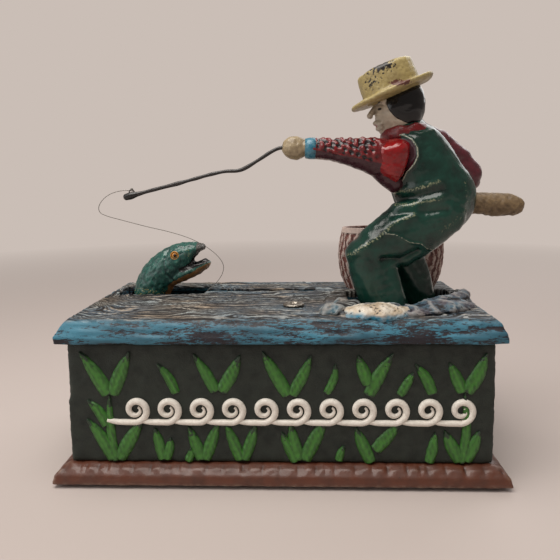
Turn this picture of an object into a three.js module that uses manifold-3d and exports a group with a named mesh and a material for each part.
// Mechanical bank: a fisherman rocks back as a fish swings up and drops a coin in the creel.
// Millimetres. +X runs towards the handle, +Y away from the front, +Z up.
import * as THREE from 'three';
import { mergeVertices } from 'three/addons/utils/BufferGeometryUtils.js';
import Module from 'manifold-3d';

const wasm = await Module();
wasm.setup();

// Driving dimensions
const gap = 0.3;                       // kept between touching pieces
const plinth_length = 254;
const plinth_depth = 133.6;
const foot_height = 2;
const plinth_top = 12;
const floor_bottom = 4.5;
const floor_top = 7.5;
const wall_length = 234.2;
const wall_depth = 113.8;
const wall_draft = 1.6;                // the casting is this much wider each way at its foot
const wall_thickness = 3.5;
const deck_bottom = 82;
const deck_top = 94.5;
const deck_plate = 4;                  // thickness of the water plate
const deck_overhang = 5;
const deck_bevel = 5.6;
const figure_plane = -8;               // Y of the seam between the figure's halves
const fish_plane = 27;                 // Y of the seam between the fish's halves
const figure_pivot = new THREE.Vector2(72, 74);
const fish_pivot = new THREE.Vector2(15, 74);
const fish_turn = 94;                  // degrees that the fish swings
const figure_turn = 16;                // degrees that the fisherman rocks
const crank_radius = 12.6;
const handle_end = 150.5;
const creel_centre = new THREE.Vector2(74.5, 33);
const creel_top = 137;
const creel_wall = 2.6;
const bolt_place = new THREE.Vector2(8, -24);
const corner_screw_place = new THREE.Vector2(110, 2);
const trap_hole = new THREE.Vector2(-50, 10);
const trap_pivot = new THREE.Vector2(-50, -22);
const spring_x = 38;
const tail_plane = 13;                 // Y of the tail lever's middle
const bolt_radius = 2.5;
const screw_radius = 1.6;
const creel_screw_radius = 1.5;
const rivet_radius = 2;
const shaft_radius = 2.5;
const fish_shaft_radius = 2;
const coin_hole_radius = 10;           // leads from the creel through the deck
const trap_hole_radius = 16;

const radians = THREE.MathUtils.degToRad;
const paint = (color, roughness, metalness = 0.1) =>
  new THREE.MeshStandardMaterial({ color, roughness, metalness });
const colours = {
  brown: paint(0x633e2f, 0.55),
  green_black: paint(0x2a312c, 0.5),
  water: paint(0x4a8aa5, 0.55),
  wader_green: paint(0x1d3b2e, 0.35),
  maroon: paint(0x5a1f2b, 0.4),
  iron: paint(0x26262a, 0.6, 0.7),
  tan: paint(0x8a7050, 0.6),
  fish_green: paint(0x1f5650, 0.4),
  basket: paint(0x7a4a42, 0.6),
  rubber: paint(0x17171a, 0.9, 0),
  nylon: paint(0xc9c9c2, 0.3, 0),
};

// Geometry to solid and back
function solid(geometry) {
  const bare = geometry.clone();
  bare.deleteAttribute('normal');
  bare.deleteAttribute('uv');
  const merged = mergeVertices(bare, 1e-4);
  const vertProperties = new Float32Array(merged.attributes.position.array);
  const triVerts = new Uint32Array(merged.index.array);
  return new wasm.Manifold(new wasm.Mesh({ numProp: 3, vertProperties, triVerts }));
}

function geometryOf(body) {
  const mesh = body.getMesh();
  const geometry = new THREE.BufferGeometry();
  const stride = mesh.numProp;
  const places = new Float32Array((mesh.vertProperties.length / stride) * 3);
  for (let i = 0; i < places.length / 3; i += 1) {
    for (let k = 0; k < 3; k += 1) places[3 * i + k] = mesh.vertProperties[stride * i + k];
  }
  geometry.setAttribute('position', new THREE.BufferAttribute(places, 3));
  geometry.setIndex(new THREE.BufferAttribute(new Uint32Array(mesh.triVerts), 1));
  geometry.computeVertexNormals();
  return geometry;
}

// A closed skin through rings of equal point count, each ring an array of Vector3
function skin(rings) {
  const count = rings[0].length;
  const places = [];
  for (const ring of rings) for (const p of ring) places.push(p.x, p.y, p.z);
  const index = [];
  for (let r = 0; r < rings.length - 1; r += 1) {
    for (let i = 0; i < count; i += 1) {
      const j = (i + 1) % count;
      const a = r * count + i;
      const b = r * count + j;
      index.push(a, b, b + count, a, b + count, a + count);
    }
  }
  for (const [r, turned] of [[0, true], [rings.length - 1, false]]) {
    const middle = new THREE.Vector3();
    for (const p of rings[r]) middle.addScaledVector(p, 1 / count);
    const pole = places.length / 3;
    places.push(middle.x, middle.y, middle.z);
    for (let i = 0; i < count; i += 1) {
      const a = r * count + i;
      const b = r * count + ((i + 1) % count);
      if (turned) index.push(b, a, pole);
      else index.push(a, b, pole);
    }
  }
  const geometry = new THREE.BufferGeometry();
  geometry.setAttribute('position', new THREE.Float32BufferAttribute(places, 3));
  geometry.setIndex(index);
  const body = solid(geometry);
  if (body.volume() > 0) return body;
  for (let t = 0; t < index.length; t += 3) [index[t], index[t + 1]] = [index[t + 1], index[t]];
  geometry.setIndex(index);
  return solid(geometry);
}

// Rectangular levels [half length, half depth, z], stacked into one solid
function stack(levels, x = 0, y = 0) {
  return skin(levels.map(([hx, hy, z]) => [[-1, -1], [1, -1], [1, 1], [-1, 1]].map(
    ([sx, sy]) => new THREE.Vector3(x + sx * hx, y + sy * hy, z))));
}

// Oval levels [half length, half depth, z]
function ovals(levels, x, y, sides = 20) {
  return skin(levels.map(([hx, hy, z]) => Array.from({ length: sides }, (_, i) => {
    const a = (2 * Math.PI * i) / sides;
    return new THREE.Vector3(x + hx * Math.cos(a), y + hy * Math.sin(a), z);
  })));
}

// A rounded limb through sections [x, y, z, half width, half depth]; widths lie in the XZ plane
function limb(sections, sides = 14, extra = 0) {
  const centres = sections.map(([x, y, z]) => new THREE.Vector3(x, y, z));
  const ring = (centre, across, width, depth) => Array.from({ length: sides }, (_, i) => {
    const a = (2 * Math.PI * i) / sides;
    return centre.clone()
      .addScaledVector(across, width * Math.cos(a))
      .add(new THREE.Vector3(0, depth * Math.sin(a), 0));
  });
  const rings = [];
  const last = sections.length - 1;
  sections.forEach(([, , , width, depth], i) => {
    const ahead = centres[Math.min(i + 1, last)].clone().sub(centres[Math.max(i - 1, 0)]);
    ahead.normalize();
    const across = new THREE.Vector3(-ahead.z, 0, ahead.x).normalize();
    const w = width + extra;
    const d = depth + extra;
    const dome = Math.min(w, d) * 0.7;
    if (i === 0) {
      rings.push(ring(centres[i].clone().addScaledVector(ahead, -dome), across, w * 0.35, d * 0.35));
      rings.push(ring(centres[i].clone().addScaledVector(ahead, -0.6 * dome), across, w * 0.78, d * 0.78));
    }
    rings.push(ring(centres[i], across, w, d));
    if (i === last) {
      rings.push(ring(centres[i].clone().addScaledVector(ahead, 0.6 * dome), across, w * 0.78, d * 0.78));
      rings.push(ring(centres[i].clone().addScaledVector(ahead, dome), across, w * 0.35, d * 0.35));
    }
  });
  return skin(rings);
}

function block(x0, x1, y0, y1, z0, z1) {
  const geometry = new THREE.BoxGeometry(x1 - x0, y1 - y0, z1 - z0);
  geometry.translate((x0 + x1) / 2, (y0 + y1) / 2, (z0 + z1) / 2);
  return solid(geometry);
}

// Round bar from one point to another
function bar(start, end, radius, sides = 16, endRadius = radius) {
  const along = end.clone().sub(start);
  const geometry = new THREE.CylinderGeometry(endRadius, radius, along.length(), sides);
  geometry.applyQuaternion(new THREE.Quaternion().setFromUnitVectors(
    new THREE.Vector3(0, 1, 0), along.clone().normalize()));
  geometry.translate((start.x + end.x) / 2, (start.y + end.y) / 2, (start.z + end.z) / 2);
  return solid(geometry);
}

// Round bar along Y through (x, z)
const cross_bar = (centre, radius, y0, y1, sides = 16) =>
  bar(new THREE.Vector3(centre.x, y0, centre.y), new THREE.Vector3(centre.x, y1, centre.y), radius, sides);

// Round bar along Z through (x, y)
const upright = (centre, radius, z0, z1, sides = 16) =>
  bar(new THREE.Vector3(centre.x, centre.y, z0), new THREE.Vector3(centre.x, centre.y, z1), radius, sides);

// A plate cut from an outline in the XZ plane, between two Y values
function plate(points, y0, y1) {
  const shape = new THREE.Shape(points.map(([x, z]) => new THREE.Vector2(x, z)));
  const geometry = new THREE.ExtrudeGeometry(shape, { depth: y1 - y0, bevelEnabled: false });
  geometry.rotateX(Math.PI / 2);
  geometry.translate(0, y1, 0);
  return solid(geometry);
}

// A slab cut from an outline in the XY plane, between two Z values
function slab(points, z0, z1) {
  const shape = new THREE.Shape(points.map(([x, y]) => new THREE.Vector2(x, y)));
  const geometry = new THREE.ExtrudeGeometry(shape, { depth: z1 - z0, bevelEnabled: false });
  geometry.translate(0, 0, z0);
  return solid(geometry);
}

const bank = new THREE.Group();
bank.position.x = -(handle_end - plinth_length / 2) / 2;

function add(name, body, material) {
  const mesh = new THREE.Mesh(geometryOf(body), material);
  mesh.name = name;
  bank.add(mesh);
}

// Plinth: a tray whose flared skirt carries the box wall; coins leave through the round hole
const half_plinth = [plinth_length / 2, plinth_depth / 2];
const skirt = [[0, foot_height], [0, 4], [-1, 7.5], [-4, 10.5], [-7.5, plinth_top]].map(
  ([inset, z]) => [half_plinth[0] + inset, half_plinth[1] + inset, z]);
const tray_inset = 20;
const inner_wall = [wall_length / 2 - wall_thickness, wall_depth / 2 - wall_thickness];
const plinth = stack(skirt)
  .subtract(stack([[half_plinth[0] - tray_inset, half_plinth[1] - tray_inset, foot_height - 1],
    [half_plinth[0] - tray_inset, half_plinth[1] - tray_inset, floor_bottom]]))
  .subtract(stack([[inner_wall[0], inner_wall[1], floor_top], [inner_wall[0], inner_wall[1], 13]]))
  .add(upright(bolt_place, 6, floor_bottom + 0.5, plinth_top))
  .subtract(upright(bolt_place, bolt_radius + gap, 0, 14))
  .subtract(upright(trap_hole, trap_hole_radius, 0, 14, 24))
  .subtract(upright(trap_pivot, rivet_radius + gap, 0, 14));
add('plinth', plinth, colours.brown);

// Feet: four pads under the skirt's corners
const foot_place = [104, 54];
const foot_half = [9, 7];
[['front_left', -1, -1], ['front_right', 1, -1], ['rear_left', -1, 1], ['rear_right', 1, 1]].forEach(
  ([corner, sx, sy]) => {
    const x = sx * foot_place[0];
    const y = sy * foot_place[1];
    const pad = block(x - foot_half[0], x + foot_half[0], y - foot_half[1], y + foot_half[1], 0, foot_height - gap);
    add(`foot_${corner}`, pad, colours.rubber);
  });

// Coin trap: a cover that swings about its rivet under the plinth's hole
const trap_bottom = 2.5;
const trap_top = 3.7;
const trap_cover = upright(trap_hole, trap_hole_radius + 4, trap_bottom, trap_top, 28)
  .add(slab([[-58, -22], [-42, -22], [-32, 4], [-68, 4]], trap_bottom, trap_top))
  .add(upright(trap_pivot, 8, trap_bottom, trap_top, 20))
  .subtract(upright(trap_pivot, rivet_radius + gap, 0, 6));
add('coin_trap_cover', trap_cover, colours.iron);
const trap_rivet = upright(trap_pivot, rivet_radius, 2.2, 9.5)
  .add(upright(trap_pivot, 4, 0.9, 2.2))
  .add(upright(trap_pivot, 3.6, floor_top + gap, 9.5));
add('coin_trap_rivet', trap_rivet, colours.iron);

// Box wall: one rectangular casting, with a boss at the right for the corner screw
const wall_bottom = plinth_top + gap;
const wall_top = deck_bottom - gap;
const wall_foot = [wall_length / 2 + wall_draft, wall_depth / 2 + wall_draft, wall_bottom];
const wall = stack([wall_foot, [wall_length / 2, wall_depth / 2, wall_top]])
  .subtract(stack([[...inner_wall, wall_bottom - 1], [...inner_wall, wall_top + 1]]))
  .add(block(105, 115, -4, 8, 62, wall_top))
  .subtract(upright(corner_screw_place, screw_radius + gap, 66, 90, 12));
add('box_wall', wall, colours.green_black);

// Deck: the water plate with its rolled edge, rocks, openings and cast lugs for the shafts
const deck_half = [wall_length / 2 + deck_overhang, wall_depth / 2 + deck_overhang];
const deck_edge = [[0, deck_bottom], [0, 85.5], [1.4, 88.5], [3.4, 92], [deck_bevel, deck_top]].map(
  ([inset, z]) => [deck_half[0] - inset, deck_half[1] - inset, z]);
const plate_under = deck_top - deck_plate;
const rock_top = deck_top + 2.6;
const rocks = [[26, -38], [34, -50], [46, -55], [66, -54], [80, -44], [104, -36], [112, -22], [117, -6],
  [115, 10], [108, 15], [36, 15], [28, -8]];
const leg_opening = [[41, -31.5], [92, -31.5], [107, -21], [107, 13.8], [60, 13.8], [41, 8]];
const rock_foot = slab(rocks, deck_top - 1, rock_top)
  .add(limb([[33, -38, 95, 5, 8], [44, -33, 95.5, 5, 7]], 10))
  .add(limb([[98, -26, 96, 5, 8], [110, -10, 97, 4.5, 9]], 10))
  .add(limb([[48, -44, 95, 5.5, 8], [66, -42, 95, 5, 8]], 10));
const lug_half = 7;
const creel_screw_place = new THREE.Vector2(52, creel_centre.y);
const lug = (centre, half, y0, y1) => block(centre.x - half, centre.x + half, y0, y1,
  centre.y - half, plate_under + 1);
const deck = stack(deck_edge)
  .subtract(block(-110, 110, -50, 50, deck_bottom - 1, plate_under))
  .add(rock_foot)
  .subtract(slab(leg_opening, plate_under - 2, deck_top + 12))
  .subtract(block(-112, -52, 13, 43, plate_under - 2, deck_top + 2))
  .subtract(block(-54, 22, 22.5, 31.5, plate_under - 2, deck_top + 2))
  .subtract(upright(creel_centre, coin_hole_radius, plate_under - 2, deck_top + 2, 20))
  .subtract(upright(bolt_place, bolt_radius + gap, 80, 99))
  .subtract(upright(corner_screw_place, screw_radius + gap, 80, 99, 12))
  .subtract(upright(corner_screw_place, 3.4, deck_top, 105, 16))
  .subtract(upright(creel_screw_place, creel_screw_radius + gap, 80, 99, 12))
  .add(lug(figure_pivot, lug_half, -36, -32))
  .add(lug(figure_pivot, lug_half, 17, 20))
  .add(lug(fish_pivot, 5, 18, 21))
  .add(lug(fish_pivot, 5, 33.5, 36.5))
  .subtract(cross_bar(figure_pivot, shaft_radius + gap, -40, 22))
  .subtract(cross_bar(fish_pivot, fish_shaft_radius + gap, 16, 38))
  .add(upright(new THREE.Vector2(spring_x, tail_plane), 1.8, 85, plate_under + 1, 12));
add('water_deck', deck, colours.water);

// Deck bolt: a wide round head over a long shank that pulls deck, wall and plinth together
const deck_bolt = upright(bolt_place, 6.3, deck_top + gap, deck_top + 2.1, 24)
  .add(upright(bolt_place, bolt_radius, 5, deck_top + 1))
  .subtract(upright(bolt_place, 3.4, deck_top + 1.3, deck_top + 3))
  .add(upright(bolt_place, 3.2, deck_top, deck_top + 1.3));
add('deck_bolt', deck_bolt, colours.iron);
add('corner_screw', upright(corner_screw_place, screw_radius, 67, deck_top + 1, 12)
  .add(upright(corner_screw_place, 2.9, deck_top + gap, deck_top + 1.6, 16)), colours.iron);

// Creel: an open oval basket with a hole in its floor that leads through the deck
const creel_bottom = deck_top + gap;
const creel_levels = [[30.5, 14, creel_bottom], [34.4, 16.2, 106], [36.2, 17.5, 119], [34.4, 16.5, 130],
  [33, 15.5, creel_top]];
const creel_hollow = creel_levels.map(([hx, hy, z], i) =>
  [hx - creel_wall, hy - creel_wall, i === 0 ? creel_bottom + creel_wall : z + (i === 4 ? 1 : 0)]);
const creel = ovals(creel_levels, creel_centre.x, creel_centre.y, 24)
  .subtract(ovals(creel_hollow, creel_centre.x, creel_centre.y, 24))
  .subtract(upright(creel_centre, coin_hole_radius, 90, 100, 20))
  .subtract(upright(creel_screw_place, creel_screw_radius + gap, 90, 100, 12));
add('creel', creel, colours.basket);
add('creel_screw', upright(creel_screw_place, creel_screw_radius, 87, 99, 12)
  .add(upright(creel_screw_place, 2.8, creel_bottom + creel_wall + gap, 99.6, 14)), colours.iron);

// Fisherman: trunk, legs, head and hat, cast as two halves that meet on the figure plane
const trunk = (extra) => limb([
  [76, -8, 203, 10, 9], [78, -8, 196, 15, 13], [79, -8, 188, 19.5, 17], [84, -8, 177, 22, 19],
  [89, -8, 166, 23.5, 20], [93, -8, 156, 25, 21], [92, -8, 147, 24, 21]], 18, extra);
const near_thigh = limb([[97, -18.5, 148, 19, 10.5], [77, -18.5, 137, 18, 10.5], [57, -18.5, 126, 14, 10.5]], 14);
const near_leg = limb([[53, -19, 128, 14, 10], [53, -19, 118, 12.5, 9.5], [57, -19, 104, 13.5, 10],
  [60, -19, 90, 14.5, 10]], 14);
const far_thigh = limb([[97, 3, 148, 19, 9.5], [88, 3, 137, 16, 9.5], [77, 3, 126, 14, 9.5]], 14);
const far_leg = limb([[77, 3, 128, 14, 9.5], [77, 3, 118, 12.5, 9], [83, 3, 104, 12.5, 9.5],
  [86, 3, 90, 13.5, 9.5]], 14);
const near_arm = limb([[74, -19, 178, 13.5, 11], [62, -22, 180, 11.5, 9], [46, -23, 183, 8.5, 7.5],
  [30, -22, 186, 6.2, 6], [21, -22, 186.5, 6, 6], [10, -22, 187, 6.3, 5.5]], 14);
const neck = bar(new THREE.Vector3(76, -8, 198), new THREE.Vector3(72, -8, 210), 9.5, 14);
const head_ball = new THREE.SphereGeometry(1, 16, 12);
head_ball.scale(15.5, 14.5, 18.5);
head_ball.rotateY(radians(-14));
head_ball.translate(71, -8, 211);
const hat_tilt = radians(-21.4);
const hat_place = [66, figure_plane, 218.2];
function hat_shape() {
  const profile = [[0, -3], [24.2, -1.6], [24.8, -0.2], [23.8, 1.2], [17, 1.6], [16.2, 14.2], [14.8, 15.8], [0, 16.2]];
  const geometry = new THREE.LatheGeometry(profile.map(([r, v]) => new THREE.Vector2(r, v)), 24);
  geometry.rotateX(Math.PI / 2);
  geometry.scale(1, 0.92, 1);
  geometry.rotateY(hat_tilt);
  geometry.translate(...hat_place);
  return solid(geometry);
}
const tang = plate([[60, 100], [92, 100], [88, 88], [79, 72], [76, 67], [68, 67], [65, 72], [62, 88]],
  figure_plane + gap / 2, 4);
const shell = 4.5;                     // thickness of the hollow-cast trunk
const figure = trunk(0).add(near_thigh).add(near_leg).add(far_thigh).add(far_leg).add(near_arm)
  .add(neck).add(solid(head_ball)).add(hat_shape()).add(tang)
  .subtract(trunk(-shell));
const rod_hold = new THREE.Vector3(12, -22, 187);
const handle_plane = 4;
const handle_start = new THREE.Vector3(98, handle_plane, 154.5);
const handle_tip = new THREE.Vector3(handle_end - 4.5, handle_plane, 151.8);
const rivet_places = [new THREE.Vector2(86, 184), new THREE.Vector2(92, 142)];
let near_half = figure.subtract(block(-20, 140, figure_plane - gap / 2, 60, 60, 260))
  .subtract(bar(rod_hold, new THREE.Vector3(0, -22, 187), 1.2 + gap, 12));
let far_half = figure.subtract(block(-20, 140, -60, figure_plane + gap / 2, 60, 260))
  .subtract(bar(handle_start.clone().setX(96.5), handle_tip, 6.9 + gap, 20))
  .subtract(cross_bar(figure_pivot, shaft_radius + gap, -20, 20));
for (const place of rivet_places) {
  near_half = near_half.subtract(cross_bar(place, rivet_radius + gap, -60, 60, 12));
  far_half = far_half.subtract(cross_bar(place, rivet_radius + gap, -60, 60, 12));
}
add('fisherman_near_half', near_half, colours.wader_green);
add('fisherman_far_half', far_half, colours.wader_green);
add('figure_rivet_upper', cross_bar(rivet_places[0], rivet_radius, -26.4, 3, 12), colours.iron);
add('figure_rivet_lower', cross_bar(rivet_places[1], rivet_radius, -27.6, 12.2, 12), colours.iron);

// Far arm: a separate casting whose hand grips the handle
const far_arm = limb([[90, 9, 190, 10, 8], [99, 13, 184, 9.5, 8], [115, 14, 170, 9, 7.5], [117, 12, 164, 7.5, 7]], 14)
  .subtract(trunk(gap))
  .subtract(far_thigh)
  .subtract(near_half)
  .subtract(bar(handle_start, handle_tip, 6.9 + gap, 20))
  .subtract(hat_shape());
add('far_arm', far_arm, colours.maroon);

// Handle: a thick round-ended stick held in a socket at the hips
const handle = bar(handle_start, handle_tip, 6.4, 18, 6.9)
  .add(limb([[handle_tip.x - 4, handle_plane, 152, 6.7, 6.7], [handle_tip.x, handle_plane, 151.8, 6.6, 6.6]], 18))
  .subtract(block(handle_end, handle_end + 9, -20, 30, 130, 170));
add('handle', handle, colours.tan);

// Fishing rod: bent wire with a thicker tip and a small eye
const rod_points = [[12, 187], [4, 187], [-2, 185.7], [-11, 180.8], [-19, 176], [-24, 174.2], [-31, 174],
  [-50, 169.6], [-72, 164.2], [-86, 160.8]].map(([x, z]) => new THREE.Vector3(x, -22, z));
const ring_outline = (radius, sides) => new THREE.Shape(Array.from({ length: sides }, (_, i) => {
  const a = (2 * Math.PI * i) / sides;
  return new THREE.Vector2(radius * Math.cos(a), radius * Math.sin(a));
}));
function tube(points, radius, sides, steps) {
  const curve = new THREE.CatmullRomCurve3(points, false, 'centripetal');
  return new THREE.ExtrudeGeometry(ring_outline(radius, sides), { steps, extrudePath: curve, bevelEnabled: false });
}
const rod = solid(tube(rod_points, 1.15, 10, 30))
  .add(limb([[-84, -22, 161.3, 1.3, 1.3], [-88, -22, 160.3, 2, 2], [-91, -22, 159.6, 1.9, 1.9]], 12));
add('fishing_rod', rod, colours.iron);

// Figure shaft and tail lever: the lever's fork drives the fish's crank pin
add('figure_shaft', cross_bar(figure_pivot, shaft_radius, -37, 21, 18), colours.iron);
const tail_length = 74;
const fork_root = 60;
const fork_gap = 2;
const tail_half = 5;
const lever = new THREE.BoxGeometry(tail_length, 4, 2 * tail_half);
lever.translate(-tail_length / 2, 0, 0);
const fork = new THREE.BoxGeometry(tail_length - fork_root + 1, 6, 2 * fork_gap);
fork.translate(-(tail_length + fork_root + 1) / 2, 0, 0);
for (const geometry of [lever, fork]) {
  geometry.rotateY(-radians(figure_turn / 2));
  geometry.translate(figure_pivot.x, tail_plane, figure_pivot.y);
}
const tail = solid(lever).subtract(solid(fork))
  .add(cross_bar(figure_pivot, 7.5, tail_plane - 2, tail_plane + 2, 20))
  .subtract(cross_bar(figure_pivot, shaft_radius + gap, 0, 30));
add('tail_lever', tail, colours.iron);

// Return spring: pushes the tail down from the deck's underside
const spring_bottom = 74.9;
const spring_top = plate_under - gap;
const spring_turns = 4;
const wire_radius = 0.6;
const spring_points = Array.from({ length: spring_turns * 12 + 1 }, (_, i) => {
  const a = (2 * Math.PI * i) / 12;
  const z = spring_bottom + wire_radius + ((spring_top - spring_bottom - 2 * wire_radius) * i) / (spring_turns * 12);
  return new THREE.Vector3(spring_x + 4 * Math.cos(a), tail_plane + 4 * Math.sin(a), z);
});
add('return_spring', solid(tube(spring_points, wire_radius, 6, spring_turns * 12)), colours.iron);

// Fish arm: hub, crank web and the long bar that carries the fish
const half_turn = radians(fish_turn / 2);
const crank = new THREE.Vector2(fish_pivot.x - crank_radius * Math.cos(half_turn),
  fish_pivot.y - crank_radius * Math.sin(half_turn));
const crank_pin_radius = 1.5;
const arm_y = [fish_plane - 2.5, fish_plane + 2.5];
const arm_outline = [[15, 70], [-84, 76], [-93, 80], [-93, 106], [-85, 106], [-85, 85], [-80, 83], [15, 78]];
const fish_arm = plate(arm_outline, ...arm_y)
  .add(cross_bar(fish_pivot, 6, ...arm_y, 20))
  .add(plate([[11, 78], [19, 70], [8.5, 61.5], [3, 67]], ...arm_y))
  .add(cross_bar(crank, 4, ...arm_y, 16))
  .subtract(cross_bar(fish_pivot, fish_shaft_radius + gap, 0, 50))
  .subtract(cross_bar(crank, crank_pin_radius + gap, 0, 50, 12));
const fish_rivet_place = new THREE.Vector2(-89, 99);
const fish_rivet_radius = 1.6;
add('fish_arm', fish_arm.subtract(cross_bar(fish_rivet_place, fish_rivet_radius + gap, 0, 50, 12)), colours.iron);
add('fish_shaft', cross_bar(fish_pivot, fish_shaft_radius, 17, 37.5), colours.iron);
add('crank_pin', cross_bar(crank, crank_pin_radius, 10, 30.5, 12), colours.iron);

// Fish: two halves round the arm, with an open mouth that holds the coin
const fish_body = limb([[-91, 27, 83, 11.5, 9], [-90.5, 27, 95, 12.6, 10.5], [-85.5, 27, 104, 12, 11.5],
  [-76, 27, 111.5, 12, 12], [-65.5, 27, 117, 12.4, 11.5], [-56, 27, 120.5, 9.5, 9], [-52.5, 27, 121.5, 6.5, 6.5]], 16)
  .subtract(plate([[-69, 110], [-40, 118.2], [-40, 134]], 0, 60));
const arm_slack = [arm_y[0] - gap, arm_y[1] + gap];
const arm_room = plate([[-70, 70], [-93.6, 70], [-93.6, 106.6], [-84.4, 106.6], [-84.4, 88], [-70, 88]], ...arm_slack);
const fish_half = (y0, y1) => fish_body.subtract(block(-120, -30, y0, y1, 60, 150))
  .subtract(arm_room)
  .subtract(cross_bar(fish_rivet_place, fish_rivet_radius + gap, 0, 60, 12));
add('fish_near_half', fish_half(fish_plane - gap / 2, 70), colours.fish_green);
add('fish_far_half', fish_half(-10, fish_plane + gap / 2), colours.fish_green);
add('fish_rivet', cross_bar(fish_rivet_place, fish_rivet_radius, 17.2, 36.8, 12), colours.iron);

// Fishing line: nylon from the rod's eye to the front edge of the slot
const line_points = [[-85.2, -22, 163.2], [-90, -22, 163.8], [-97, -22, 162.6], [-103, -21, 159.6], [-107, -20, 155],
  [-107.5, -18, 151], [-104, -16, 148.6], [-98, -13, 146.4], [-90, -9, 143.6], [-82, -5, 140.9],
  [-72, 0, 137.8], [-61, 5, 133.6], [-51.5, 9.5, 128.2], [-44, 13, 121.8], [-39.4, 15, 115],
  [-39.8, 16.5, 108.6], [-44, 18.4, 102], [-49.2, 20, 97.2], [-51.4, 20.6, 95.1]];
add('fishing_line', solid(tube(line_points.map((p) => new THREE.Vector3(...p)), 0.2, 8, 76)), colours.nylon);

export default bank;
